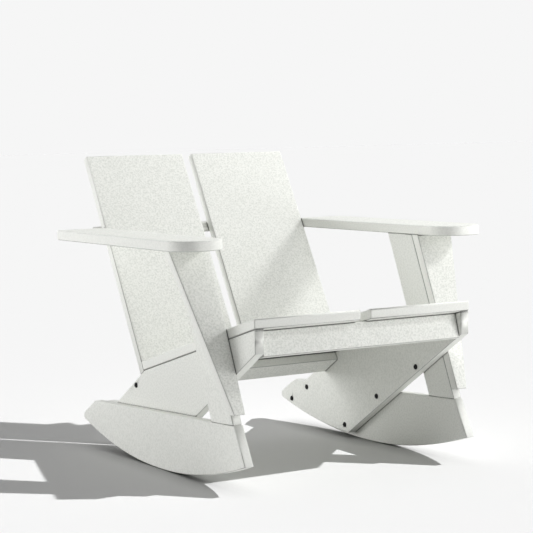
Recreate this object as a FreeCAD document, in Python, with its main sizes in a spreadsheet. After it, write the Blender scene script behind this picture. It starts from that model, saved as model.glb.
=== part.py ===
"""Rocking adirondack chair of flat boards.

The chair faces -Y, +Z is up and the plane X = 0 is its plane of symmetry. The origin lies on the
floor, under the middle of the chair's box. "Left" is the sitter's left, on the +X side. Every
board is drawn on the left or across the middle, and the right one of a pair is its mirror image.
"""
import FreeCAD, Part
import math
import os
import re
import Sketcher

Vector = FreeCAD.Vector

# Driving dimensions, in millimetres and degrees
SIZES = {
    # boards
    "board": 22,
    "edge_round": 3,
    "edge_chamfer": 2,
    "seat_width": 536,
    "slat_gap": 26,
    # rockers
    "rocker_radius": 1215,
    "contact_y": 3.8,
    "rocker_brow_y": -338,
    "rocker_brow_z": 141,
    "rocker_chin_y": -379,
    "rocker_fall": 2.7,
    "rocker_tail_y": 322,
    "tail_slope": 30,
    "tail_round": 10,
    # side panels
    "seat_corner_y": 103,
    "seat_corner_z": 204,
    "seat_pitch": 15.4,
    "seat_front_y": -392,
    "panel_nose": 50,
    "panel_keel": 12,
    "cut_slope": 32,
    "tail_inset": 24,
    # back, apron and rails
    "back_lean": 29.3,
    "back_length": 551,
    "apron_setback": 19,
    "apron_height": 54,
    "lower_rail_width": 68,
    "upper_rail_depth": 60,
    # arm posts
    "post_lean": 22.8,
    "post_depth": 86,
    "post_setback": 3,
    "post_step": 22,
    "front_board_top": 94,
    "front_board_foot": 26,
    # armrests
    "arm_height": 518,
    "arm_width": 122,
    "arm_front_y": -311,
    "arm_front_round": 56,
    "arm_rear_round": 12,
    # screws, bolts and loose tenons
    "bore_clearance": 0.1,
    "screw_radius": 3,
    "screw_length": 38,
    "rail_bolt_length": 60,
    "head_radius": 6,
    "head_height": 3.2,
    "tenon_thickness": 8,
    "tenon_width": 24,
    "tenon_bite": 13,
    "tenon_depth": 24,
    "tenon_inset": 50,
    "foot_tenon_inset": 24,
    "slat_tenon_inset": 62,
    "arm_tenon_reach": 40,
    "arm_tenon_width": 12,
    "arm_tenon_inset": 10,
    # places of screws on the panels
    "heel_screw_ahead": 15,
    "screw_below_top": 12,
    "cross_screw_behind": 68,
    "toe_screw_behind": 14,
    "toe_screw_rise": 18,
    "tail_screw_along": 28,
    "tail_screw_in": 37,
    "post_screw_edge": 9,
    "post_screw_rise": 13,
    "rail_bolt_along": 54,
}

# Places worked out from the driving dimensions
LAYOUT = {}


def rocker_top(y):
    """Formula for the height of the rocker's straight top edge at y."""
    return f"(rocker_brow_z - ({y} - rocker_brow_y) * tan(rocker_fall))"


def place(name, y, z):
    """Give a point of the side view its two cells."""
    LAYOUT[name + "_y"] = y
    LAYOUT[name + "_z"] = z


def place_on_arc(name, start, slope, radius):
    """Go back and down from a point until an arc about the rolling centre is met."""
    ahead = f"({start}_y - contact_y)"
    below = f"(rocker_radius - {start}_z)"
    LAYOUT[name + "_lead"] = f"{ahead} * cos({slope}) + {below} * sin({slope})"
    LAYOUT[name + "_reach"] = (
        f"sqrt({name}_lead ^ 2 + {radius} ^ 2 - {ahead} ^ 2 - {below} ^ 2) - {name}_lead"
    )
    place(
        name,
        f"{start}_y + {name}_reach * cos({slope})",
        f"{start}_z - {name}_reach * sin({slope})",
    )


def place_on_rocker_top(name, start, slope):
    """Follow a sloping edge through a point to where it meets the rocker's top edge."""
    level = f"{start}_z + {start}_y * tan({slope}) - rocker_brow_z - rocker_brow_y * tan(rocker_fall)"
    LAYOUT[name + "_y"] = f"({level}) / (tan({slope}) - tan(rocker_fall))"
    LAYOUT[name + "_z"] = rocker_top(f"{name}_y")


def lay_out_sides():
    LAYOUT["half_width"] = "seat_width / 2"
    LAYOUT["keel_radius"] = "rocker_radius - panel_keel"
    LAYOUT["rocker_chin_z"] = "rocker_radius - sqrt(rocker_radius ^ 2 - (rocker_chin_y - contact_y) ^ 2)"
    LAYOUT["rocker_tail_z"] = rocker_top("rocker_tail_y")
    place_on_arc("rocker_tip", "rocker_tail", "tail_slope", "rocker_radius")

    rise = "(seat_corner_y - seat_front_y) * tan(seat_pitch)"
    place("panel_brow", "seat_front_y", f"seat_corner_z + {rise}")
    place("panel_chin", "seat_front_y", "panel_brow_z - panel_nose")
    place_on_arc("panel_toe", "panel_chin", "cut_slope", "keel_radius")
    place_on_rocker_top("panel_heel", "seat_corner", "cut_slope")
    place_on_rocker_top("panel_cross", "panel_chin", "cut_slope")
    place("panel_hip", "rocker_tail_y - tail_inset", rocker_top("panel_hip_y"))
    place_on_arc("panel_tip", "panel_hip", "tail_slope", "keel_radius")


def lay_out_back_and_seat():
    LAYOUT["arm_under"] = "arm_height - board"
    LAYOUT["back_run"] = "board / cos(back_lean)"
    LAYOUT["foot_run"] = "back_run / (1 + tan(cut_slope) * tan(back_lean))"
    place("back_foot", "seat_corner_y + foot_run", "seat_corner_z - foot_run * tan(cut_slope)")
    place(
        "back_top",
        "seat_corner_y + back_length * sin(back_lean)",
        "seat_corner_z + back_length * cos(back_lean)",
    )
    place("back_crest", "back_top_y + board * cos(back_lean)", "back_top_z - board * sin(back_lean)")

    LAYOUT["seat_rise"] = "board / cos(seat_pitch)"
    LAYOUT["seat_run"] = "seat_rise * tan(back_lean) / (1 + tan(seat_pitch) * tan(back_lean))"
    place("seat_rear", "seat_corner_y + seat_run", "seat_corner_z + seat_run / tan(back_lean)")
    place("seat_brow", "seat_front_y", "panel_brow_z + seat_rise")

    place(
        "apron_brow",
        "seat_front_y + apron_setback * cos(seat_pitch)",
        "panel_brow_z - apron_setback * sin(seat_pitch)",
    )
    place(
        "apron_back",
        "apron_brow_y + board * cos(seat_pitch)",
        "apron_brow_z - board * sin(seat_pitch)",
    )
    drop_y = "apron_height * sin(seat_pitch)"
    drop_z = "apron_height * cos(seat_pitch)"
    place("apron_chin", f"apron_brow_y - {drop_y}", f"apron_brow_z - {drop_z}")
    place("apron_heel", f"apron_back_y - {drop_y}", f"apron_back_z - {drop_z}")


def lay_out_rails():
    along_y = "lower_rail_width * cos(cut_slope)"
    along_z = "lower_rail_width * sin(cut_slope)"
    place("lower_rail_rear", f"seat_corner_y + {along_y}", f"seat_corner_z - {along_z}")
    deep_y = "board * sin(cut_slope)"
    deep_z = "board * cos(cut_slope)"
    place("lower_rail_chin", f"seat_corner_y - {deep_y}", f"seat_corner_z - {deep_z}")
    place("lower_rail_heel", f"lower_rail_rear_y - {deep_y}", f"lower_rail_rear_z - {deep_z}")

    back_face = "seat_corner_y + back_run + (arm_under - seat_corner_z) * tan(back_lean)"
    LAYOUT["arm_rear_y"] = back_face
    LAYOUT["upper_rail_lip_y"] = "arm_rear_y + board * tan(back_lean)"
    LAYOUT["upper_rail_rear_y"] = "arm_rear_y + upper_rail_depth"


def lay_out_posts():
    LAYOUT["post_run"] = "post_depth / cos(post_lean)"
    LAYOUT["front_board_run"] = "board / cos(post_lean)"
    LAYOUT["step_rise"] = "post_step / cos(rocker_fall)"
    LAYOUT["lean_over_fall"] = "1 + tan(rocker_fall) * tan(post_lean)"
    LAYOUT["post_toe_y"] = "rocker_brow_y + post_setback"
    LAYOUT["post_toe_z"] = rocker_top("post_toe_y")
    LAYOUT["post_heel_y"] = "post_toe_y + post_run / lean_over_fall"
    LAYOUT["post_heel_z"] = rocker_top("post_heel_y")
    LAYOUT["post_front_y"] = "post_toe_y + (arm_under - post_toe_z) * tan(post_lean)"
    LAYOUT["post_rear_y"] = "post_front_y + post_run"

    lift = "step_rise * tan(post_lean)"
    LAYOUT["front_board_heel_y"] = f"post_toe_y + {lift} / lean_over_fall"
    LAYOUT["front_board_toe_y"] = f"post_toe_y + ({lift} - front_board_run) / lean_over_fall"
    LAYOUT["front_board_heel_z"] = rocker_top("front_board_heel_y") + " + step_rise"
    LAYOUT["front_board_toe_z"] = rocker_top("front_board_toe_y") + " + step_rise"
    LAYOUT["front_board_face_y"] = "post_front_y - front_board_run"

    # Lengths along the leaning front board, for its taper
    LAYOUT["taper_top"] = "arm_under * cos(post_lean) + front_board_face_y * sin(post_lean)"
    LAYOUT["taper_foot"] = "front_board_toe_z * cos(post_lean) + front_board_toe_y * sin(post_lean)"
    LAYOUT["taper_rate"] = "(front_board_top - front_board_foot) / (taper_top - taper_foot)"


def lay_out_screws():
    for name, y in (
        ("heel_screw", "panel_heel_y - heel_screw_ahead"),
        ("cross_screw", "panel_cross_y + cross_screw_behind"),
    ):
        place(name, y, rocker_top(name + "_y") + " - screw_below_top")
    place("toe_screw", "panel_toe_y + toe_screw_behind", "panel_toe_z + toe_screw_rise")
    place(
        "tail_screw",
        "panel_hip_y + tail_screw_along * cos(tail_slope) - tail_screw_in * sin(tail_slope)",
        "panel_hip_z - tail_screw_along * sin(tail_slope) - tail_screw_in * cos(tail_slope)",
    )
    rear = "(post_toe_y + post_run - post_toe_z * tan(post_lean) - post_screw_edge / cos(post_lean))"
    low = "post_screw_rise / cos(cut_slope)"
    LAYOUT["post_screw_z"] = (
        f"(panel_chin_z + {low} + (panel_chin_y - {rear}) * tan(cut_slope))"
        " / (1 + tan(post_lean) * tan(cut_slope))"
    )
    LAYOUT["post_screw_y"] = f"{rear} + post_screw_z * tan(post_lean)"
    place(
        "rail_bolt",
        "seat_corner_y + rail_bolt_along * cos(cut_slope) - board / 2 * sin(cut_slope)",
        "seat_corner_z - rail_bolt_along * sin(cut_slope) - board / 2 * cos(cut_slope)",
    )


doc = FreeCAD.newDocument("RockingAdirondackChair")
parts = {}
cuts = {}


def qualified(formula, inside=""):
    """Put the sheet's name before each alias of a formula."""
    def prefix(match):
        word = match.group(0)
        if word in SIZES:
            return "Sizes." + word
        if word in LAYOUT and inside != "Layout":
            return "Layout." + word
        return word
    return re.sub(r"[a-z_]+", prefix, formula)


def make_sheet(name, cells):
    sheet = doc.addObject("Spreadsheet::Sheet", name)
    for row, (alias, content) in enumerate(cells.items(), start=1):
        sheet.set(f"A{row}", alias.replace("_", " "))
        sheet.set(f"B{row}", content)
        sheet.setAlias(f"B{row}", alias)
    doc.recompute()
    return sheet


def size(alias):
    """Read a size or place back from its sheet."""
    sheet = doc.Sizes if alias in SIZES else doc.Layout
    return float(getattr(sheet, alias))


def origin_plane(body, role):
    return next(item for item in body.Origin.OriginFeatures if item.Role == role)


def arc_between(start, end, radius):
    """Arc that bulges to the right of the way from start to end."""
    chord = end - start
    middle = (start + end) * 0.5
    inward = Vector(-chord.y, chord.x, 0).normalize()
    centre = middle + inward * math.sqrt(radius ** 2 - (chord.Length / 2) ** 2)
    circle = Part.Circle(centre, Vector(0, 0, 1), radius)
    angles = [math.atan2(point.y - centre.y, point.x - centre.x) for point in (start, end)]
    return Part.ArcOfCircle(circle, angles[0], angles[1])


def draw_outline(sketch, corners, arcs=None):
    """Closed outline through corners given as formula pairs, counter-clockwise.

    arcs maps the number of an edge to the formula of its radius.
    """
    arcs = arcs or {}
    scratch = doc.addObject("App::FeaturePython", "Scratch")
    scratch.addProperty("App::PropertyFloat", "Value")

    def number(formula):
        scratch.setExpression("Value", qualified(formula))
        scratch.recompute()
        return scratch.Value

    points = [Vector(number(u), number(v), 0) for u, v in corners]
    count = len(points)
    for index, start in enumerate(points):
        end = points[(index + 1) % count]
        if index in arcs:
            sketch.addGeometry(arc_between(start, end, number(arcs[index])))
        else:
            sketch.addGeometry(Part.LineSegment(start, end))
    doc.removeObject(scratch.Name)

    for index in range(count):
        sketch.addConstraint(Sketcher.Constraint("Coincident", index, 2, (index + 1) % count, 1))
    for index, (u, v) in enumerate(corners):
        for kind, formula, value in (("DistanceX", u, points[index].x), ("DistanceY", v, points[index].y)):
            row = sketch.addConstraint(Sketcher.Constraint(kind, -1, 1, index, 1, value))
            sketch.setExpression(f"Constraints[{row}]", qualified(formula))
        if index in arcs:
            radius = sketch.Geometry[index].Radius
            row = sketch.addConstraint(Sketcher.Constraint("Radius", index, radius))
            sketch.setExpression(f"Constraints[{row}]", qualified(arcs[index]))


def corner(name):
    return (name + "_y", name + "_z")


def pad_outline(name, corners, start, length, role="YZ_Plane", arcs=None):
    """Body whose outline on an origin plane, moved to start, is padded by length."""
    body = doc.addObject("PartDesign::Body", name + "_body")
    sketch = body.newObject("Sketcher::SketchObject", name + "_outline")
    sketch.AttachmentSupport = [(origin_plane(body, role), "")]
    sketch.MapMode = "FlatFace"
    sketch.setExpression("AttachmentOffset.Base.z", qualified(start))
    draw_outline(sketch, corners, arcs)
    pad = body.newObject("PartDesign::Pad", name + "_pad")
    pad.Profile = sketch
    pad.setExpression("Length", qualified(length))
    doc.recompute()
    return body


def dress_edges(body, kind, wanted, measure, amount):
    """Fillet or chamfer the edges of the body that pass the test."""
    base = body.Tip
    names = [f"Edge{number}" for number, edge in enumerate(base.Shape.Edges, start=1) if wanted(edge)]
    dressing = body.newObject(f"PartDesign::{kind}", f"{body.Name}_{amount}")
    dressing.Base = (base, names)
    dressing.setExpression(measure, qualified(amount))
    doc.recompute()


def round_corners(body, points, axis, radius):
    """Round the edges that run along axis through the given points of the outline."""
    def wanted(edge):
        middle = edge.valueAt((edge.FirstParameter + edge.LastParameter) / 2)
        flat = middle - axis * middle.dot(axis)
        along = abs(edge.tangentAt(edge.FirstParameter).dot(axis)) > 0.999
        return along and any((flat - point).Length < 0.01 for point in points)

    dress_edges(body, "Fillet", wanted, "Radius", radius)


def ease_faces(body, normal, curved=False):
    """Ease the edges all the way round a board's two broad faces, whose normal is given.

    Straight boards get the router's round. Curved and tapered ones get a fine chamfer instead.
    """
    def wanted(edge):
        return abs(edge.tangentAt(edge.FirstParameter).dot(normal)) < 0.01

    if curved:
        dress_edges(body, "Chamfer", wanted, "Size", "edge_chamfer")
    else:
        dress_edges(body, "Fillet", wanted, "Radius", "edge_round")


def side_point(name):
    return Vector(0, size(name + "_y"), size(name + "_z"))


def leaning(angle):
    """Direction in the side view that leans back from the vertical by an angle."""
    return Vector(0, math.sin(math.radians(angle)), math.cos(math.radians(angle)))


def square_to(direction):
    """The side view's direction a quarter turn forward of another."""
    return Vector(0, -direction.z, direction.y)


def add_part(name, body, paired):
    parts[name] = (body, paired)


def make_rockers():
    names = ["rocker_chin", "rocker_tip", "rocker_tail", "rocker_brow"]
    body = pad_outline("rocker", [corner(n) for n in names], "half_width", "board",
                       arcs={0: "rocker_radius"})
    round_corners(body, [side_point("rocker_tip")], Vector(1, 0, 0), "tail_round")
    ease_faces(body, Vector(1, 0, 0), curved=True)
    add_part("rocker", body, True)


def make_side_panels():
    names = ["panel_toe", "panel_tip", "panel_hip", "panel_heel", "seat_corner", "panel_brow", "panel_chin"]
    body = pad_outline("side_panel", [corner(n) for n in names], "half_width - board", "board",
                       arcs={0: "keel_radius"})
    round_corners(body, [side_point("panel_tip")], Vector(1, 0, 0), "tail_round")
    ease_faces(body, Vector(1, 0, 0), curved=True)
    add_part("side_panel", body, True)


def make_arm_posts():
    corners = [corner("post_toe"), corner("post_heel"),
               ("post_rear_y", "arm_under"), ("post_front_y", "arm_under")]
    side = pad_outline("arm_post_side", corners, "half_width", "board")
    ease_faces(side, Vector(1, 0, 0))
    add_part("arm_post_side", side, True)

    corners = [corner("front_board_toe"), corner("front_board_heel"),
               ("post_front_y", "arm_under"), ("front_board_face_y", "arm_under")]
    front = pad_outline("arm_post_front", corners, "half_width", "front_board_top")
    cut_taper(front)
    ease_faces(front, square_to(leaning(size("post_lean"))), curved=True)
    add_part("arm_post_front", front, True)


def cut_taper(body):
    """Cut the front board's outer edge to its taper, square to its broad faces."""
    sketch = body.newObject("Sketcher::SketchObject", "taper_outline")
    sketch.AttachmentSupport = [(origin_plane(body, "XZ_Plane"), "")]
    sketch.MapMode = "FlatFace"
    sketch.AttachmentOffset = FreeCAD.Placement(Vector(), FreeCAD.Rotation(Vector(1, 0, 0), 0))
    sketch.setExpression("AttachmentOffset.Rotation.Angle", qualified("0 - post_lean"))
    over = "board"
    foot_x = f"half_width + front_board_foot - {over} * taper_rate"
    top_x = f"half_width + front_board_top + {over} * taper_rate"
    beyond = f"half_width + front_board_top + {over}"
    draw_outline(sketch, [
        (foot_x, f"taper_foot - {over}"), (beyond, f"taper_foot - {over}"),
        (beyond, f"taper_top + {over}"), (top_x, f"taper_top + {over}"),
    ])
    before = body.Shape.Volume
    pocket = body.newObject("PartDesign::Pocket", "taper_cut")
    pocket.Profile = sketch
    pocket.Type = 1
    pocket.Midplane = True
    doc.recompute()
    if pocket.Shape.Volume > before - 1:
        raise RuntimeError("the taper cut nothing")


def make_armrests():
    outer = "half_width + arm_width"
    corners = [("half_width", "arm_front_y"), (outer, "arm_front_y"),
               (outer, "arm_rear_y"), ("half_width", "arm_rear_y")]
    body = pad_outline("armrest", corners, "arm_under", "board", role="XY_Plane")
    inner_x = size("half_width")
    outer_x = inner_x + size("arm_width")
    front_y = size("arm_front_y")
    up = Vector(0, 0, 1)
    round_corners(body, [Vector(inner_x, front_y, 0), Vector(outer_x, front_y, 0)], up, "arm_front_round")
    round_corners(body, [Vector(outer_x, size("arm_rear_y"), 0)], up, "arm_rear_round")
    ease_faces(body, up, curved=True)
    add_part("armrest", body, True)


def make_slats():
    width = "half_width - slat_gap / 2"
    names = ["panel_brow", "seat_corner", "seat_rear", "seat_brow"]
    seat = pad_outline("seat_slat", [corner(n) for n in names], "slat_gap / 2", width)
    ease_faces(seat, leaning(size("seat_pitch")))
    add_part("seat_slat", seat, True)

    names = ["seat_corner", "back_foot", "back_crest", "back_top"]
    back = pad_outline("back_slat", [corner(n) for n in names], "slat_gap / 2", width)
    ease_faces(back, square_to(leaning(size("back_lean"))))
    add_part("back_slat", back, True)


def make_cross_boards():
    inside = "board - half_width"
    clear_width = "seat_width - 2 * board"
    names = ["apron_chin", "apron_heel", "apron_back", "apron_brow"]
    apron = pad_outline("front_apron", [corner(n) for n in names], inside, clear_width)
    ease_faces(apron, square_to(leaning(size("seat_pitch"))))
    add_part("front_apron", apron, False)

    names = ["lower_rail_chin", "lower_rail_heel", "lower_rail_rear", "seat_corner"]
    lower = pad_outline("lower_back_rail", [corner(n) for n in names], inside, clear_width)
    ease_faces(lower, leaning(size("cut_slope")))
    add_part("lower_back_rail", lower, False)

    corners = [("arm_rear_y", "arm_under"), ("upper_rail_rear_y", "arm_under"),
               ("upper_rail_rear_y", "arm_height"), ("upper_rail_lip_y", "arm_height")]
    upper = pad_outline("upper_back_rail", corners, "0 - half_width", "seat_width")
    ease_faces(upper, Vector(0, 0, 1))
    add_part("upper_back_rail", upper, False)


def cylinder(name, start, direction, radius, height):
    rod = doc.addObject("Part::Cylinder", name)
    rod.setExpression("Radius", qualified(radius))
    rod.setExpression("Height", qualified(height))
    rod.Placement = FreeCAD.Placement(start, FreeCAD.Rotation(Vector(0, 0, 1), direction))
    return rod


def block(name, foot, direction, across, sides):
    """Box that stands on the middle of its foot, with its second side lying across."""
    box = doc.addObject("Part::Box", name)
    for side, formula in zip(("Length", "Width", "Height"), sides):
        box.setExpression(side, qualified(formula))
    box.recompute()
    thin = across.cross(direction)
    start = foot - thin * (box.Length.Value / 2) - across * (box.Width.Value / 2)
    box.Placement = FreeCAD.Placement(start, FreeCAD.Rotation(thin, across, direction, "ZYX"))
    return box


def tenon(name, joint, direction, across, boards,
          before="tenon_depth", after="tenon_bite", width="tenon_width"):
    """Loose tenon across a joint, and a mortise for it in each named board."""
    foot = joint - direction * size(before)
    sides = ["tenon_thickness", width, f"{before} + {after}"]
    roomy = [side + " + 2 * bore_clearance" for side in sides]
    bottom = foot - direction * size("bore_clearance")
    for board in boards:
        cuts.setdefault(board, []).append(block(board + "_mortise", bottom, direction, across, roomy))
    return block(name, foot, direction, across, sides)


def screw(name, seat, direction, length, boards):
    """Button head screw: its head stands on the seat, its shank runs along the direction."""
    clearance = size("bore_clearance")
    for board in boards:
        drill = cylinder(board + "_drill", seat - direction * clearance, direction,
                         "screw_radius + bore_clearance", length + " + 2 * bore_clearance")
        cuts.setdefault(board, []).append(drill)
    shank = cylinder(name + "_shank", seat, direction, "screw_radius", length)
    turn = FreeCAD.Rotation(Vector(0, 0, 1), direction * -1)
    head = doc.addObject("Part::Cone", name + "_head")
    head.setExpression("Radius1", qualified("head_radius"))
    head.setExpression("Radius2", qualified("head_radius * 0.6"))
    head.setExpression("Height", qualified("head_height"))
    head.Placement = FreeCAD.Placement(seat, turn)
    whole = doc.addObject("Part::Fuse", name)
    whole.Base = shank
    whole.Tool = head
    return whole


def group(name, solids):
    """Node of identical fasteners, those given and their mirror images."""
    given = doc.addObject("Part::Compound", name + "_given")
    given.Links = solids
    compound = doc.addObject("Part::Compound", name + "_both_sides")
    compound.Links = [given, mirror(given)]
    add_part(name, compound, False)


def make_screws():
    """The dark screws on the panels' inner faces, and the bolt from outside into the lower rail."""
    outward = Vector(1, 0, 0)
    inner_face = Vector(size("half_width") - size("board"), 0, 0)
    group("rocker_screws", [
        screw(name, inner_face + side_point(name), outward, "screw_length", ["side_panel", "rocker"])
        for name in ("heel_screw", "cross_screw", "toe_screw", "tail_screw")
    ])
    group("post_screws", [
        screw("post_screw", inner_face + side_point("post_screw"), outward, "screw_length",
              ["side_panel", "arm_post_side"])
    ])
    outer_face = Vector(size("half_width"), 0, 0)
    group("lower_rail_bolts", [
        screw("rail_bolt", outer_face + side_point("rail_bolt"), outward * -1, "rail_bolt_length",
              ["side_panel", "lower_back_rail"])
    ])


def make_post_tenons():
    """Tenons from the rocker into the post, between its two boards, and from both into the arm."""
    middle = Vector(size("half_width") + size("board") / 2, 0, 0)
    rocker_edge = leaning(size("rocker_fall"))
    along_rocker = square_to(rocker_edge) * -1
    inset = along_rocker * size("foot_tenon_inset")
    group("post_foot_tenons", [
        tenon("post_foot_tenon", middle + foot, rocker_edge, along_rocker, ["rocker", "arm_post_side"],
              after="tenon_depth")
        for foot in (side_point("post_toe") + inset, side_point("post_heel") - inset)
    ])

    lean = leaning(size("post_lean"))
    low = size("post_step") + size("tenon_inset")
    high = (size("arm_under") - size("post_toe_z")) / lean.z - size("tenon_inset")
    group("post_board_tenons", [
        tenon("post_board_tenon", middle + side_point("post_toe") + lean * reach, square_to(lean), lean,
              ["arm_post_side", "arm_post_front"])
        for reach in (low, high)
    ])

    side_top = middle + Vector(0, size("post_front_y") + size("post_run") / 2, size("arm_under"))
    front_top = Vector(
        size("half_width") + size("front_board_top") / 2,
        size("post_front_y") - size("front_board_run") / 2,
        size("arm_under"),
    )
    group("arm_post_tenons", [
        tenon("arm_side_tenon", side_top, Vector(0, 0, 1), Vector(0, 1, 0), ["arm_post_side", "armrest"]),
        tenon("arm_front_tenon", front_top, lean, Vector(1, 0, 0), ["arm_post_front", "armrest"]),
    ])


def make_arm_back_tenons():
    """Tenons between the arms' inner edges and the outer edges of the back slats."""
    seat = Vector(
        size("half_width"),
        size("arm_rear_y") - size("arm_tenon_inset"),
        size("arm_height") - size("board") / 2,
    )
    group("arm_back_tenons", [
        tenon("arm_back_tenon", seat, Vector(1, 0, 0), leaning(size("back_lean")), ["back_slat", "armrest"],
              "arm_tenon_reach", "arm_tenon_reach", "arm_tenon_width")
    ])


def make_seat_tenons():
    """Tenons from the panels' top edges into the seat slats, and from the apron into the panels."""
    middle = Vector(size("half_width") - size("board") / 2, 0, 0)
    square = leaning(size("seat_pitch"))
    backward = square_to(square) * -1
    inset = backward * size("tenon_inset")
    group("seat_tenons", [
        tenon("seat_tenon", middle + top, square, backward, ["side_panel", "seat_slat"])
        for top in (side_point("panel_brow") + inset, side_point("seat_corner") - inset)
    ])

    apron_end = Vector(size("half_width") - size("board"), 0, 0) + side_point("apron_brow")
    apron_end += backward * (size("board") / 2) - square * (size("apron_height") / 2)
    group("apron_tenons", [
        tenon("apron_tenon", apron_end, Vector(1, 0, 0), square, ["front_apron", "side_panel"])
    ])


def make_back_tenons():
    """Tenons from the two cross rails into the back slats."""
    inset = size("slat_tenon_inset")
    places = [Vector(x, 0, 0) for x in (size("slat_gap") / 2 + inset, size("half_width") - inset)]
    across = Vector(1, 0, 0)
    foot = (side_point("seat_corner") + side_point("back_foot")) * 0.5
    group("back_foot_tenons", [
        tenon("back_foot_tenon", foot + place_x, leaning(size("back_lean")), across,
              ["lower_back_rail", "back_slat"], "tenon_bite", "tenon_depth")
        for place_x in places
    ])
    rail = Vector(
        0,
        (size("arm_rear_y") + size("upper_rail_lip_y")) / 2,
        size("arm_height") - size("board") / 2,
    )
    group("upper_rail_tenons", [
        tenon("upper_rail_tenon", rail + place_x, Vector(0, 1, 0), across,
              ["back_slat", "upper_back_rail"], "tenon_bite", "tenon_depth")
        for place_x in places
    ])


def mirror(source):
    """The source's mirror image on the other side of the chair."""
    image = doc.addObject("Part::Mirroring", source.Name + "_mirrored")
    image.Source = source
    image.Normal = Vector(1, 0, 0)
    return image


def finish_parts():
    """Cut the bores and mortises, mirror the pairs, and return each node's object by its name."""
    nodes = {}
    for name, (body, paired) in parts.items():
        whole = body
        if name in cuts:
            tools = doc.addObject("Part::Compound", name + "_cuts")
            tools.Links = cuts[name]
            if not paired:
                both = doc.addObject("Part::Compound", name + "_all_cuts")
                both.Links = [tools, mirror(tools)]
                tools = both
            whole = doc.addObject("Part::Cut", name + "_machined")
            whole.Base = body
            whole.Tool = tools
        if not paired:
            whole.Label = name
            nodes[name] = whole
            continue
        other = mirror(whole)
        whole.Label = name + "_left"
        other.Label = name + "_right"
        nodes[whole.Label] = whole
        nodes[other.Label] = other
    doc.recompute()
    return nodes


def check(nodes):
    for item in doc.Objects:
        if "Invalid" in item.State or "Error" in item.State:
            raise RuntimeError(f"{item.Label} did not recompute: {item.State}")
    for name, node in nodes.items():
        if node.Shape.isNull() or not node.Shape.isValid():
            raise RuntimeError(f"{name} has no valid shape")


def report_balance(nodes):
    """Print where the centre of mass lies, which has to be over the rockers' contact line."""
    solids = [solid for node in nodes.values() for solid in node.Shape.Solids]
    volume = sum(solid.Volume for solid in solids)
    centre = sum((solid.CenterOfMass * solid.Volume for solid in solids), Vector()) * (1 / volume)
    print(f"volume {volume / 1e6:.3f} l, centre of mass y {centre.y:.2f} z {centre.z:.2f}")
    box = FreeCAD.BoundBox()
    for node in nodes.values():
        box.add(node.Shape.BoundBox)
    print(f"box {box}")


def build():
    lay_out_sides()
    lay_out_back_and_seat()
    lay_out_rails()
    lay_out_posts()
    lay_out_screws()
    make_sheet("Sizes", {alias: str(value) for alias, value in SIZES.items()})
    make_sheet("Layout", {alias: "=" + qualified(text, "Layout") for alias, text in LAYOUT.items()})
    make_rockers()
    make_side_panels()
    make_arm_posts()
    make_armrests()
    make_slats()
    make_cross_boards()
    make_screws()
    make_post_tenons()
    make_arm_back_tenons()
    make_seat_tenons()
    make_back_tenons()
    nodes = finish_parts()
    check(nodes)
    report_balance(nodes)
    os.makedirs("parts", exist_ok=True)
    for name, node in nodes.items():
        node.Shape.exportStep(f"parts/{name}.step")
    print(f"{len(nodes)} nodes")


build()
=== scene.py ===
"""Rocking adirondack chair: off-white plastic boards, black screws, a pale studio.

The boards come from the frame, in metres. The chair faces -Y, +Z is up, and the sitter's left is +X.
This file smooths the boards' routed edges, gives them their material, models the screws, and sets up
the floor, the light and the camera.
"""
import math

import bpy
from mathutils import Matrix, Vector


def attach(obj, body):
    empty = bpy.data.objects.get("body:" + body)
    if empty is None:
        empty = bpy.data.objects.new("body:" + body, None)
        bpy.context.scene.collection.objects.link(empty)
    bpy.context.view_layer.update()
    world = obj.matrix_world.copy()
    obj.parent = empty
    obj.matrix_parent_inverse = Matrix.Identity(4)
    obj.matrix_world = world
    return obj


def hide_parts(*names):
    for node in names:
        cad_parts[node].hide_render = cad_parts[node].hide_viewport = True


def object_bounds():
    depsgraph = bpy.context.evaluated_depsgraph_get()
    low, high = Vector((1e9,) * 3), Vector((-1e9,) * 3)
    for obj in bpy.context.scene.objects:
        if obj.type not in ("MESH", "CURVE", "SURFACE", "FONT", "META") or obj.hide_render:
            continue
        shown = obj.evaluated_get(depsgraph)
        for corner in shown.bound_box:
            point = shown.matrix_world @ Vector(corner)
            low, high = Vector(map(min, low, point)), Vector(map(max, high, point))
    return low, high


bl_info = {
    "name": "Rocking Adirondack Chair",
    "version": (1, 0, 0),
    "blender": (4, 5, 0),
    "location": "3D View > Sidebar > Chair",
    "description": "Boards, screws, material and studio of a rocking adirondack chair",
    "category": "Object",
}

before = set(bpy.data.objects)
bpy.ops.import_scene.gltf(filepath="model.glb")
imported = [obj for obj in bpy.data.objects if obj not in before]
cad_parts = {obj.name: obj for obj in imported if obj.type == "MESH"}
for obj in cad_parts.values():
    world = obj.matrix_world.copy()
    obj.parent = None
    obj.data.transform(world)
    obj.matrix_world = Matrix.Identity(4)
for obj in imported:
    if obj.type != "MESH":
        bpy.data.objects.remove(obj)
CAD_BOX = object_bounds()
MM = 0.001

# Lean or slope in the side view of the boards that neither stand upright nor lie level, in degrees
SEAT_PITCH = 15.4
BACK_LEAN = 29.3
RAIL_SLOPE = 32.0
POST_LEAN = 22.8

# Points of a mesh that lie closer than this are one point
SAME_POINT = 0.01 * MM
# Faces that meet at less than this angle are shaded as one
BOARD_SMOOTHING = math.radians(24)
SCREW_SMOOTHING = math.radians(35)

# Sockets of a Mix node that mixes colours
MIX_A, MIX_B, MIX_RESULT = 6, 7, 2


def side_direction(angle):
    """Direction in the plane X = 0 that leans back from the vertical by an angle in degrees."""
    return Vector((0, math.sin(math.radians(angle)), math.cos(math.radians(angle))))


def square_to(direction):
    """Direction in the plane X = 0 a quarter turn forward of another."""
    return Vector((0, -direction.z, direction.y))


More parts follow.
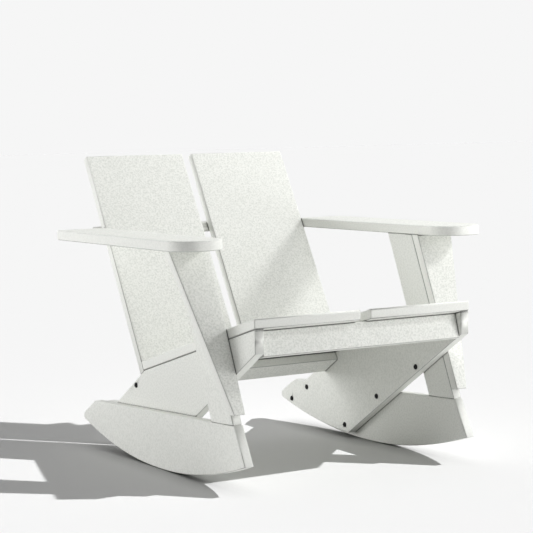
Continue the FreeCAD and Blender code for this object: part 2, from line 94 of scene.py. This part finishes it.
def linear(hex_colour):
    """Linear RGBA of an sRGB hex colour."""
    channels = [int(hex_colour[i:i + 2], 16) / 255 for i in (1, 3, 5)]
    return [c / 12.92 if c <= 0.04045 else ((c + 0.055) / 1.055) ** 2.4 for c in channels] + [1.0]


class ChairFinish(bpy.types.PropertyGroup):
    """Colours, grain and edges of the boards"""
    board_colour: bpy.props.StringProperty(
        name="Board colour", description="sRGB hex colour of the boards", default="#EBECE7")
    speckle_colour: bpy.props.StringProperty(
        name="Speckle colour", description="sRGB hex colour of the dark specks", default="#D5D7D1")
    # Painted shade and dust in the joints, and painted shade on the rounds
    shade_and_dust_colour: bpy.props.StringProperty(
        name="Joint colour", description="sRGB hex colour of the dust in the joints and on the rounds",
        default="#6E6F6C")
    joint_width: bpy.props.FloatProperty(
        name="Joint width", description="How far the joints' dark line reaches",
        default=5 * MM, min=0, unit="LENGTH", precision=4)
    # Painted shade on the rounds that don't face up
    round_shade: bpy.props.FloatProperty(
        name="Round shade", description="Share of the joint colour on the cutter's round",
        default=0.7, min=0, max=1, subtype="FACTOR")
    speckle_size: bpy.props.FloatProperty(
        name="Speckle size", description="Width of a speck on a broad face",
        default=4 * MM, min=0.5 * MM, unit="LENGTH", precision=4)
    stipple_size: bpy.props.FloatProperty(
        name="Stipple size", description="Width of one bump of the embossed grain",
        default=2.2 * MM, min=0.5 * MM, unit="LENGTH", precision=4)
    edge_rounding: bpy.props.FloatProperty(
        name="Edge rounding", description="Radius that the router's round has to the eye",
        default=4.5 * MM, min=0, unit="LENGTH", precision=4)


class ScrewSizes(bpy.types.PropertyGroup):
    """Sizes and colours of the screws"""
    head_radius: bpy.props.FloatProperty(
        name="Head radius", description="Radius of the button head",
        default=6 * MM, min=0, unit="LENGTH", precision=4)
    head_height: bpy.props.FloatProperty(
        name="Head height", description="Height of the button head",
        default=3.2 * MM, min=0, unit="LENGTH", precision=4)
    shank_radius: bpy.props.FloatProperty(
        name="Shank radius", description="Radius of the shank",
        default=3 * MM, min=0, unit="LENGTH", precision=4)
    socket_width: bpy.props.FloatProperty(
        name="Socket width", description="Hexagon socket, across its corners",
        default=4.6 * MM, min=0, unit="LENGTH", precision=4)
    socket_depth: bpy.props.FloatProperty(
        name="Socket depth", description="Depth of the hexagon socket",
        default=2.0 * MM, min=0, unit="LENGTH", precision=4)
    colour: bpy.props.StringProperty(
        name="Screw colour", description="sRGB hex colour of the black oxide", default="#1C1C1D")
    mottle_colour: bpy.props.StringProperty(
        name="Mottle colour", description="sRGB hex colour of the oxide's paler spots",
        default="#2A2A2B")
    mottle_size: bpy.props.FloatProperty(
        name="Mottle size", description="Width of a spot of the oxide's mottle",
        default=0.6 * MM, min=0.1 * MM, unit="LENGTH", precision=5)


class StudioSettings(bpy.types.PropertyGroup):
    """Backdrop, floor, lights and camera"""
    backdrop_colour: bpy.props.StringProperty(
        name="Backdrop colour", description="sRGB hex colour of the background", default="#F6F6F6")
    floor_colour: bpy.props.StringProperty(
        name="Floor colour", description="sRGB hex colour of the floor's paint, as the camera sees it",
        default="#E6E6E6")
    bounce_colour: bpy.props.StringProperty(
        name="Bounce colour", description="sRGB hex colour of the light that the floor throws back",
        default="#D8D8D8")
    # Painted contact shade on the floor close to the chair
    contact_shade_colour: bpy.props.StringProperty(
        name="Contact colour", description="sRGB hex colour of the floor where the chair covers it",
        default="#404040")
    contact_reach: bpy.props.FloatProperty(
        name="Contact reach", description="How far the chair's contact shade reaches on the floor",
        default=80 * MM, min=0, unit="LENGTH", precision=3)
    floor_light: bpy.props.FloatProperty(
        name="Floor light", description="Strength of the sun that casts the floor's shadow, in W/m²",
        default=3.8, min=0)
    key: bpy.props.FloatProperty(
        name="Key softbox", description="Light from high on the right, in W/m²", default=0.98, min=0)
    front: bpy.props.FloatProperty(
        name="Front softbox", description="Light from low on the front right, in W/m²",
        default=1.42, min=0)
    left: bpy.props.FloatProperty(
        name="Left softbox", description="Light from the left, in W/m²", default=2.0, min=0)
    top: bpy.props.FloatProperty(
        name="Top softbox", description="Light from above, in W/m²", default=1.6, min=0)
    under: bpy.props.FloatProperty(
        name="Reflector", description="Light from a card that lies under the seat, in W/m²",
        default=0.5, min=0)
    sky: bpy.props.FloatProperty(
        name="Sky", description="Strength of the even light from all round but the flag",
        default=0.47, min=0)
    lens: bpy.props.FloatProperty(
        name="Lens", description="Focal length of the camera", default=114.8, min=10, unit="CAMERA")


# The scene's properties that hold the settings
GROUPS = {"chair_finish": ChairFinish, "chair_screws": ScrewSizes, "chair_studio": StudioSettings}


def emptied(block):
    """Give a new material or world a node tree with nothing in it."""
    block.use_nodes = True
    block.node_tree.nodes.clear()
    return block


def add_node(block, kind, inputs=None, **settings):
    """Add one shader node to a material or world, set its properties, and set or link its inputs."""
    tree = block.node_tree
    node = tree.nodes.new(kind)
    for key, value in settings.items():
        setattr(node, key, value)
    for key, value in (inputs or {}).items():
        if isinstance(value, bpy.types.NodeSocket):
            tree.links.new(value, node.inputs[key])
        else:
            node.inputs[key].default_value = value
    return node


def hdpe_board(name, broad_face, finish, mottle=1.0):
    """Recycled HDPE board, extruded, its broad faces embossed with a grain and its edges routed.

    The grain gives the broad faces a matt, finely mottled look, which mottle makes stronger or
    weaker. The routed edges are smoother and plainer, with a slightly waxy sheen. Painted shade and
    dust draw the joints between boards as dark lines, and painted shade darkens the rounds that don't
    face up. broad_face is the normal of the broad faces.
    """
    material = emptied(bpy.data.materials.new(name))
    place = add_node(material, "ShaderNodeTexCoord").outputs["Object"]
    normal = add_node(material, "ShaderNodeNewGeometry").outputs["Normal"]

    # How squarely a point faces the way of the broad faces, and so whether it has the grain
    facing = add_node(material, "ShaderNodeVectorMath", {
        0: normal, 1: broad_face,
    }, operation="DOT_PRODUCT").outputs["Value"]
    flat = add_node(material, "ShaderNodeMath", {0: facing}, operation="ABSOLUTE").outputs[0]
    grained = add_node(material, "ShaderNodeMapRange", {
        "Value": flat, "From Min": 0.96, "From Max": 0.995,
    }).outputs["Result"]

    # The real grain is about 1 mm wide, too fine to show, so the specks and the stipple are coarser
    specks = add_node(material, "ShaderNodeTexNoise", {
        "Vector": place, "Scale": 1 / finish.speckle_size, "Detail": 2.0, "Roughness": 0.6,
    }).outputs["Fac"]
    speck_share = add_node(material, "ShaderNodeMapRange", {
        "Value": specks, "From Min": 0.4, "From Max": 0.66,
    }).outputs["Result"]
    strength = add_node(material, "ShaderNodeMapRange", {
        "Value": grained, "To Min": 0.35 * mottle, "To Max": mottle,
    }).outputs["Result"]
    share = add_node(material, "ShaderNodeMath", {
        0: speck_share, 1: strength,
    }, operation="MULTIPLY").outputs[0]
    speckled = add_node(material, "ShaderNodeMix", {
        "Factor": share, MIX_A: linear(finish.board_colour), MIX_B: linear(finish.speckle_colour),
    }, data_type="RGBA").outputs[MIX_RESULT]

    # Painted shade and dust where boards meet: the colour is darker where ambient occlusion finds
    # another board close
    open_air = add_node(material, "ShaderNodeAmbientOcclusion", {
        "Distance": finish.joint_width,
    }, samples=8).outputs["AO"]
    in_joint = add_node(material, "ShaderNodeMapRange", {
        "Value": open_air, "From Min": 0.35, "From Max": 0.8, "To Min": 1.0, "To Max": 0.0,
    }).outputs["Result"]
    dust_and_painted_shade = add_node(material, "ShaderNodeMix", {
        "Factor": in_joint, MIX_A: speckled, MIX_B: linear(finish.shade_and_dust_colour),
    }, data_type="RGBA").outputs[MIX_RESULT]

    # Painted shade on the cutter's round, halfway between a broad face and an edge: the round is
    # darkened towards the joint colour, but not where it faces up
    off_edge = add_node(material, "ShaderNodeMapRange", {
        "Value": flat, "From Min": 0.15, "From Max": 0.7, "To Max": finish.round_shade,
    }, interpolation_type="SMOOTHSTEP").outputs["Result"]
    off_face = add_node(material, "ShaderNodeMapRange", {
        "Value": flat, "From Min": 0.7, "From Max": 0.97, "To Min": 1.0, "To Max": 0.0,
    }, interpolation_type="SMOOTHSTEP").outputs["Result"]
    on_round = add_node(material, "ShaderNodeMath", {
        0: off_edge, 1: off_face,
    }, operation="MULTIPLY").outputs[0]
    upward = add_node(material, "ShaderNodeVectorMath", {
        0: normal, 1: (0, 0, 1),
    }, operation="DOT_PRODUCT").outputs["Value"]
    not_facing_up = add_node(material, "ShaderNodeMapRange", {
        "Value": upward, "From Min": 0.3, "From Max": 0.6, "To Min": 1.0, "To Max": 0.0,
    }).outputs["Result"]
    painted_round_shade = add_node(material, "ShaderNodeMath", {
        0: on_round, 1: not_facing_up,
    }, operation="MULTIPLY").outputs[0]
    colour = add_node(material, "ShaderNodeMix", {
        "Factor": painted_round_shade, MIX_A: dust_and_painted_shade, MIX_B: linear(finish.shade_and_dust_colour),
    }, data_type="RGBA").outputs[MIX_RESULT]

    # The grain stands up from the broad faces only. The round looks a little fuller than the solid's
    stipple = add_node(material, "ShaderNodeTexNoise", {
        "Vector": place, "Scale": 1 / finish.stipple_size, "Detail": 3.0, "Roughness": 0.55,
    }).outputs["Fac"]
    height = add_node(material, "ShaderNodeMath", {
        0: stipple, 1: grained,
    }, operation="MULTIPLY").outputs[0]
    rounded = add_node(material, "ShaderNodeBevel", {
        "Radius": finish.edge_rounding,
    }, samples=8).outputs["Normal"]
    bump = add_node(material, "ShaderNodeBump", {
        "Height": height, "Strength": 0.25, "Distance": 0.5 * MM, "Normal": rounded,
    }).outputs["Normal"]
    roughness = add_node(material, "ShaderNodeMapRange", {
        "Value": grained, "To Min": 0.42, "To Max": 0.62,
    }).outputs["Result"]
    shader = add_node(material, "ShaderNodeBsdfPrincipled", {
        "Base Color": colour, "Roughness": roughness, "Normal": bump, "IOR": 1.53,
    }).outputs["BSDF"]
    add_node(material, "ShaderNodeOutputMaterial", {"Surface": shader})
    return material


def black_steel(screws):
    """Stainless steel, turned, with a black oxide skin: dark, half matt, faintly mottled."""
    material = emptied(bpy.data.materials.new("black_oxide_steel"))
    place = add_node(material, "ShaderNodeTexCoord").outputs["Object"]
    # The skin's real mottle is finer than 0.1 mm, and is drawn coarser so that it shows close up
    mottle = add_node(material, "ShaderNodeTexNoise", {
        "Vector": place, "Scale": 1 / screws.mottle_size, "Detail": 2.0,
    }).outputs["Fac"]
    roughness = add_node(material, "ShaderNodeMapRange", {
        "Value": mottle, "To Min": 0.38, "To Max": 0.52,
    }).outputs["Result"]
    tone = add_node(material, "ShaderNodeMix", {
        "Factor": mottle, MIX_A: linear(screws.colour), MIX_B: linear(screws.mottle_colour),
    }, data_type="RGBA").outputs[MIX_RESULT]
    shader = add_node(material, "ShaderNodeBsdfPrincipled", {
        "Base Color": tone, "Roughness": roughness, "Metallic": 0.6,
    }).outputs["BSDF"]
    add_node(material, "ShaderNodeOutputMaterial", {"Surface": shader})
    return material


def floor_paint(studio):
    """White paint, rolled on a seamless floor: matt and even, so it takes the chair's shadow, and a
    painted contact shade is added close to the chair.
    """
    material = emptied(bpy.data.materials.new("matt_white_floor"))
    # Painted contact shade: the lamps alone leave too weak a shade where the chair comes close to the
    # floor, so the paint is darkened there
    open_air = add_node(material, "ShaderNodeAmbientOcclusion", {
        "Distance": studio.contact_reach,
    }, samples=16).outputs["AO"]
    painted_contact_shade = add_node(material, "ShaderNodeMapRange", {
        "Value": open_air, "From Min": 0.1, "From Max": 0.9, "To Min": 0.65, "To Max": 0.0,
    }).outputs["Result"]
    seen = add_node(material, "ShaderNodeMix", {
        "Factor": painted_contact_shade, MIX_A: linear(studio.floor_colour), MIX_B: linear(studio.contact_shade_colour),
    }, data_type="RGBA").outputs[MIX_RESULT]
    camera_ray = add_node(material, "ShaderNodeLightPath").outputs["Is Camera Ray"]
    tone = add_node(material, "ShaderNodeMix", {
        "Factor": camera_ray, MIX_A: linear(studio.bounce_colour), MIX_B: seen,
    }, data_type="RGBA").outputs[MIX_RESULT]
    shader = add_node(material, "ShaderNodeBsdfDiffuse", {"Color": tone}).outputs["BSDF"]
    add_node(material, "ShaderNodeOutputMaterial", {"Surface": shader})
    return material


def deselect_all():
    """Leave edit mode and deselect every object."""
    if bpy.context.object and bpy.context.object.mode != "OBJECT":
        bpy.ops.object.mode_set(mode="OBJECT")
    bpy.ops.object.select_all(action="DESELECT")


def select_only(piece):
    """Select one object and make it active."""
    deselect_all()
    piece.select_set(True)
    bpy.context.view_layer.objects.active = piece


def finish_boards(names, material):
    """Weld each board's mesh, smooth its routed edges and give it its material."""
    for name in names:
        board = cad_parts[name]
        weld = board.modifiers.new("Weld", "WELD")
        weld.merge_threshold = SAME_POINT
        board.data.materials.clear()
        board.data.materials.append(material)
        select_only(board)
        bpy.ops.object.shade_smooth_by_angle(angle=BOARD_SMOOTHING)
        # The broad faces stay flat, and the turn from face to edge lies in the round alone
        normals = board.modifiers.new("Face normals", "WEIGHTED_NORMAL")
        normals.keep_sharp = True
        normals.weight = 100


def both(name):
    """Names of the left and the right board of a pair."""
    return [name + "_left", name + "_right"]


class CHAIR_OT_upright_boards(bpy.types.Operator):
    """Finish the rockers, side panels and the posts' side boards, which stand upright"""
    bl_idname = "chair.upright_boards"
    bl_label = "Rockers, Panels and Post Sides"

    def execute(self, context):
        finish = context.scene.chair_finish
        upright = hdpe_board("hdpe_board_upright", Vector((1, 0, 0)), finish, mottle=0.6)
        finish_boards(both("rocker") + both("side_panel") + both("arm_post_side"), upright)
        return {"FINISHED"}


class CHAIR_OT_post_fronts(bpy.types.Operator):
    """Finish the tapered front boards of the arm posts"""
    bl_idname = "chair.post_fronts"
    bl_label = "Post Front Boards"

    def execute(self, context):
        finish = context.scene.chair_finish
        leaning = hdpe_board("hdpe_board_post", square_to(side_direction(POST_LEAN)), finish)
        finish_boards(both("arm_post_front"), leaning)
        return {"FINISHED"}


class CHAIR_OT_level_boards(bpy.types.Operator):
    """Finish the armrests and the rail behind the back, which lie level"""
    bl_idname = "chair.level_boards"
    bl_label = "Armrests and Upper Rail"

    def execute(self, context):
        finish = context.scene.chair_finish
        level = hdpe_board("hdpe_board_level", Vector((0, 0, 1)), finish)
        finish_boards(both("armrest") + ["upper_back_rail"], level)
        return {"FINISHED"}


class CHAIR_OT_seat_boards(bpy.types.Operator):
    """Finish the seat slats, and the apron that stands square to them"""
    bl_idname = "chair.seat_boards"
    bl_label = "Seat Slats and Apron"

    def execute(self, context):
        finish = context.scene.chair_finish
        across_seat = side_direction(SEAT_PITCH)
        seat = hdpe_board("hdpe_board_seat", across_seat, finish)
        finish_boards(both("seat_slat"), seat)
        apron = hdpe_board("hdpe_board_apron", square_to(across_seat), finish)
        finish_boards(["front_apron"], apron)
        return {"FINISHED"}


class CHAIR_OT_back_boards(bpy.types.Operator):
    """Finish the back slats and the rail behind their foot"""
    bl_idname = "chair.back_boards"
    bl_label = "Back Slats and Lower Rail"

    def execute(self, context):
        finish = context.scene.chair_finish
        back = hdpe_board("hdpe_board_back", square_to(side_direction(BACK_LEAN)), finish)
        finish_boards(both("back_slat"), back)
        rail = hdpe_board("hdpe_board_rail", side_direction(RAIL_SLOPE), finish)
        finish_boards(["lower_back_rail"], rail)
        return {"FINISHED"}


class CHAIR_OT_tenons(bpy.types.Operator):
    """Finish the loose tenons inside the joints"""
    bl_idname = "chair.tenons"
    bl_label = "Loose Tenons"

    def execute(self, context):
        finish = context.scene.chair_finish
        tenons = [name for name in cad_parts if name.endswith("_tenons")]
        if not tenons:
            raise RuntimeError("the frame has no tenons")
        finish_boards(tenons, hdpe_board("hdpe_tenon", Vector((1, 0, 0)), finish))
        return {"FINISHED"}


def screw_places(node_name):
    """Placement and shank length of each screw in a node, from the loose parts of a merged copy.

    A placement turns and moves a screw from the origin, where its head's underside lies in the
    plane X = 0 and its shank runs along +X.
    """
    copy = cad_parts[node_name].copy()
    copy.data = copy.data.copy()
    copy.parent = None
    bpy.context.collection.objects.link(copy)
    select_only(copy)
    bpy.ops.object.mode_set(mode="EDIT")
    bpy.ops.mesh.select_all(action="SELECT")
    bpy.ops.mesh.remove_doubles(threshold=SAME_POINT)
    bpy.ops.mesh.separate(type="LOOSE")
    bpy.ops.object.mode_set(mode="OBJECT")
    places = []
    for loose in list(bpy.context.selected_objects):
        points = [vertex.co.copy() for vertex in loose.data.vertices]
        low = Vector([min(values) for values in zip(*points)])
        high = Vector([max(values) for values in zip(*points)])
        middle = (low + high) / 2
        # Only the rim of the head's underside is as wide as the screw's box
        nearly_widest = 0.9 * (high.y - low.y) / 2
        seat = next(p.x for p in points if math.hypot(p.y - middle.y, p.z - middle.z) > nearly_widest)
        shank_end = max(low.x, high.x, key=lambda x: abs(x - seat))
        half_turn = math.pi if shank_end < seat else 0
        placement = Matrix.Translation((seat, middle.y, middle.z)) @ Matrix.Rotation(half_turn, 4, "Z")
        places.append((placement, abs(shank_end - seat)))
        bpy.data.objects.remove(loose, do_unlink=True)
    return places


def select_faces(mesh, wanted):
    """Select the faces that pass a test, in object mode."""
    for edge in mesh.edges:
        edge.select = False
    for vertex in mesh.vertices:
        vertex.select = False
    for face in mesh.polygons:
        face.select = wanted(face)


# The button head: the share of its height that is a straight rim, the share of its radius that the
# flat crown takes, and the angles up the dome at which its rings lie
RIM_SHARE = 0.3
CROWN_SHARE = 0.45
DOME_ANGLES = (25, 45, 62, 76)


def model_screw(screws, length):
    """Model one button head screw, its head on the -X side of the plane X = 0, its shank along +X."""
    deselect_all()
    rim_height = screws.head_height * RIM_SHARE
    bpy.ops.mesh.primitive_cylinder_add(
        vertices=36, radius=screws.head_radius, depth=rim_height,
        location=(-rim_height / 2, 0, 0), rotation=(0, -math.pi / 2, 0))
    screw = bpy.context.object
    bpy.ops.object.transform_apply(location=True, rotation=True, scale=True)

    # The dome of the head: the top face is drawn in and up, ring by ring
    select_faces(screw.data, lambda face: face.normal.x < -0.9)
    bpy.ops.object.mode_set(mode="EDIT")
    bpy.ops.mesh.select_mode(type="FACE")
    radius, height = screws.head_radius, rim_height
    for angle in map(math.radians, DOME_ANGLES):
        ring_radius = screws.head_radius * (CROWN_SHARE + (1 - CROWN_SHARE) * math.cos(angle))
        ring_height = screws.head_height * (RIM_SHARE + (1 - RIM_SHARE) * math.sin(angle))
        bpy.ops.mesh.inset(thickness=radius - ring_radius, depth=0)
        bpy.ops.transform.translate(value=(height - ring_height, 0, 0))
        radius, height = ring_radius, ring_height
    bpy.ops.object.mode_set(mode="OBJECT")

    # The shank: the underside is drawn in and out
    select_faces(screw.data, lambda face: face.normal.x > 0.9)
    bpy.ops.object.mode_set(mode="EDIT")
    bpy.ops.mesh.inset(thickness=screws.head_radius - screws.shank_radius, depth=0)
    bpy.ops.mesh.extrude_region_move(TRANSFORM_OT_translate={"value": (length, 0, 0)})
    bpy.ops.object.mode_set(mode="OBJECT")

    # The hexagon socket
    deselect_all()
    bpy.ops.mesh.primitive_cylinder_add(
        vertices=6, radius=screws.socket_width / 2, depth=2 * screws.socket_depth,
        location=(-screws.head_height, 0, 0), rotation=(0, -math.pi / 2, 0))
    socket = bpy.context.object
    bpy.ops.object.transform_apply(location=True, rotation=True, scale=True)
    select_only(screw)
    cut = screw.modifiers.new("Socket", "BOOLEAN")
    cut.operation = "DIFFERENCE"
    cut.object = socket
    bpy.ops.object.modifier_apply(modifier=cut.name)
    bpy.data.objects.remove(socket, do_unlink=True)
    bpy.ops.object.shade_smooth_by_angle(angle=SCREW_SMOOTHING)
    return screw


def copy_screw(pattern, placement):
    """Copy a modelled screw, with its own mesh, to one of its places."""
    screw = pattern.copy()
    screw.data = pattern.data.copy()
    screw.data.transform(placement)
    bpy.context.collection.objects.link(screw)
    return screw


class CHAIR_OT_screws(bpy.types.Operator):
    """Model the black button head screws and bolts on the side panels"""
    bl_idname = "chair.screws"
    bl_label = "Screws and Bolts"

    def execute(self, context):
        screws = context.scene.chair_screws
        material = black_steel(screws)
        for node_name in ("rocker_screws", "post_screws", "lower_rail_bolts"):
            placements, lengths = zip(*screw_places(node_name))
            # A node's screws are alike, so one is modelled and copied
            pattern = model_screw(screws, lengths[0])
            copies = [copy_screw(pattern, placement) for placement in placements]
            bpy.data.objects.remove(pattern, do_unlink=True)
            group = copies[0]
            select_only(group)
            for screw in copies:
                screw.select_set(True)
            bpy.ops.object.join()
            group.name = node_name + "_modelled"
            group.data.name = group.name
            group.data.materials.clear()
            group.data.materials.append(material)
            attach(group, "root")
            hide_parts(node_name)
        return {"FINISHED"}


# The photograph's view: where the camera stands, the opposite of the way it looks, its own way up,
# and the width of its sensor in millimetres
CAMERA_PLACE = Vector((-1974.8, -3295.9, 734.4)) * MM
CAMERA_BACK = Vector((-0.5119, -0.8555, 0.0793))
CAMERA_UP = Vector((0.0585, 0.0573, 0.9967))
SENSOR_WIDTH = 36

# In metres, and wide enough that the floor's far edge lies at the horizon
FLOOR_SIZE = 120

# The sun that lights only the floor: the way its light travels, and its width in the sky
FLOOR_LIGHT_TRAVELS = Vector((-0.913, 0.623, -0.976))
FLOOR_LIGHT_WIDTH = math.radians(1)

# The middle of the chair, which the softboxes face
LIT_POINT = Vector((0, 0, 350)) * MM

# The softboxes, named as the camera sees them: plan angle from +X and height of the way to each, in
# degrees, then how far it stands from the lit point and how wide it is, in metres
SOFTBOXES = {
    "key": (-38, 30.3, 2.2, 0.28),
    "front": (-50, 6, 2.0, 1.3),
    "left": (150, 4, 3.0, 1.6),
    "top": (0, 85, 2.2, 1.6),
    "under": (-90, -89, 0.34, 0.4),
}

# The way to the black flag, which stands behind the camera
FLAG_WAY = Vector((-0.643, -0.766, 0))


def lay_floor(studio):
    """Lay the studio's floor at the foot of the chair."""
    deselect_all()
    bpy.ops.mesh.primitive_plane_add(size=FLOOR_SIZE, location=(0, 0, CAD_BOX[0].z))
    floor = bpy.context.object
    bpy.ops.object.transform_apply(location=True)
    floor.name = "studio_floor"
    floor.data.materials.append(floor_paint(studio))
    return floor


def add_lamp(name, kind, place, travels, floor, lights_floor):
    """Add a lamp that lights only the floor, or all but the floor."""
    lamp = bpy.data.objects.new(name, bpy.data.lights.new(name, kind))
    lamp.location = place
    lamp.rotation_euler = travels.to_track_quat("-Z", "Y").to_euler()
    bpy.context.collection.objects.link(lamp)
    receivers = bpy.data.collections.new(name + "_receivers")
    receivers.objects.link(floor)
    lamp.light_linking.receiver_collection = receivers
    link = receivers.collection_objects[0].light_linking
    link.link_state = "INCLUDE" if lights_floor else "EXCLUDE"
    return lamp


def add_softbox(name, light, floor):
    """Add a square softbox that gives the chair a light in W/m² where it faces the box."""
    plan, height, distance, width = SOFTBOXES[name]
    plan, height = math.radians(plan), math.radians(height)
    way = Vector((math.cos(plan), math.sin(plan), math.tan(height))).normalized()
    place = LIT_POINT + way * distance
    lamp = add_lamp(name + "_softbox", "AREA", place, -way, floor, lights_floor=False)
    lamp.data.shape = "SQUARE"
    lamp.data.size = width
    # A flat lamp gives its power / (pi * distance²) straight ahead
    lamp.data.energy = light * math.pi * distance ** 2
    lamp.visible_camera = False
    lamp.visible_glossy = False


def studio_world(studio):
    """The backdrop, where the camera or a mirror image sees it, and an even light for all the rest.

    A black flag keeps the even light off the rounded edges that face the camera.
    """
    world = emptied(bpy.data.worlds.new("studio_world"))
    path = add_node(world, "ShaderNodeLightPath").outputs
    looks = add_node(world, "ShaderNodeMath", {
        0: path["Is Camera Ray"], 1: path["Is Glossy Ray"],
    }, operation="MAXIMUM").outputs[0]
    looks_or_passes = add_node(world, "ShaderNodeMath", {
        0: looks, 1: path["Is Transmission Ray"],
    }, operation="MAXIMUM").outputs[0]

    way = add_node(world, "ShaderNodeTexCoord").outputs["Generated"]
    towards_flag = add_node(world, "ShaderNodeVectorMath", {
        0: way, 1: FLAG_WAY,
    }, operation="DOT_PRODUCT").outputs["Value"]
    unflagged = add_node(world, "ShaderNodeMapRange", {
        "Value": towards_flag, "From Min": 0.1, "From Max": 0.8, "To Min": studio.sky, "To Max": 0.0,
    }, interpolation_type="SMOOTHSTEP").outputs["Result"]
    even_light = add_node(world, "ShaderNodeBackground", {
        "Color": linear("#FFFFFF"), "Strength": unflagged,
    }).outputs[0]
    backdrop = add_node(world, "ShaderNodeBackground", {
        "Color": linear(studio.backdrop_colour), "Strength": 1.0,
    }).outputs[0]
    mixed = add_node(world, "ShaderNodeMixShader", {
        0: looks_or_passes, 1: even_light, 2: backdrop,
    }).outputs[0]
    add_node(world, "ShaderNodeOutputWorld", {"Surface": mixed})
    return world


def photo_camera(lens):
    """Camera that sees the chair as the photograph does."""
    data = bpy.data.cameras.new("camera")
    data.lens = lens
    data.sensor_width = SENSOR_WIDTH
    camera = bpy.data.objects.new("camera", data)
    right = CAMERA_UP.cross(CAMERA_BACK).normalized()
    up = CAMERA_BACK.cross(right).normalized()
    turn = Matrix((right, up, CAMERA_BACK.normalized())).transposed().to_4x4()
    camera.matrix_world = Matrix.Translation(CAMERA_PLACE) @ turn
    bpy.context.collection.objects.link(camera)
    return camera


class CHAIR_OT_studio(bpy.types.Operator):
    """Lay the floor, light it and place the camera"""
    bl_idname = "chair.studio"
    bl_label = "Studio"

    def execute(self, context):
        scene = context.scene
        studio = scene.chair_studio
        floor = lay_floor(studio)
        sun = add_lamp("floor_light", "SUN", LIT_POINT, FLOOR_LIGHT_TRAVELS, floor, lights_floor=True)
        sun.data.energy = studio.floor_light
        sun.data.angle = FLOOR_LIGHT_WIDTH
        for name in SOFTBOXES:
            add_softbox(name, getattr(studio, name), floor)
        scene.world = studio_world(studio)
        scene.view_settings.view_transform = "Standard"
        scene.camera = photo_camera(studio.lens)
        return {"FINISHED"}


STEPS = (
    CHAIR_OT_upright_boards,
    CHAIR_OT_post_fronts,
    CHAIR_OT_level_boards,
    CHAIR_OT_seat_boards,
    CHAIR_OT_back_boards,
    CHAIR_OT_tenons,
    CHAIR_OT_screws,
    CHAIR_OT_studio,
)


class CHAIR_PT_sidebar(bpy.types.Panel):
    """Sizes, colours and steps of the chair"""
    bl_idname = "CHAIR_PT_sidebar"
    bl_label = "Rocking Adirondack Chair"
    bl_space_type = "VIEW_3D"
    bl_region_type = "UI"
    bl_category = "Chair"

    def draw(self, context):
        for attribute, group in GROUPS.items():
            column = self.layout.column(align=True)
            for prop in group.__annotations__:
                column.prop(getattr(context.scene, attribute), prop)
        column = self.layout.column(align=True)
        for step in STEPS:
            column.operator(step.bl_idname)


CLASSES = (*GROUPS.values(), *STEPS, CHAIR_PT_sidebar)


def register():
    for cls in CLASSES:
        bpy.utils.register_class(cls)
    for attribute, group in GROUPS.items():
        setattr(bpy.types.Scene, attribute, bpy.props.PointerProperty(type=group))


def unregister():
    for attribute in GROUPS:
        delattr(bpy.types.Scene, attribute)
    for cls in reversed(CLASSES):
        bpy.utils.unregister_class(cls)


def main():
    register()
    for step in STEPS:
        category, name = step.bl_idname.split(".")
        getattr(getattr(bpy.ops, category), name)()


if __name__ == "__main__":
    main()
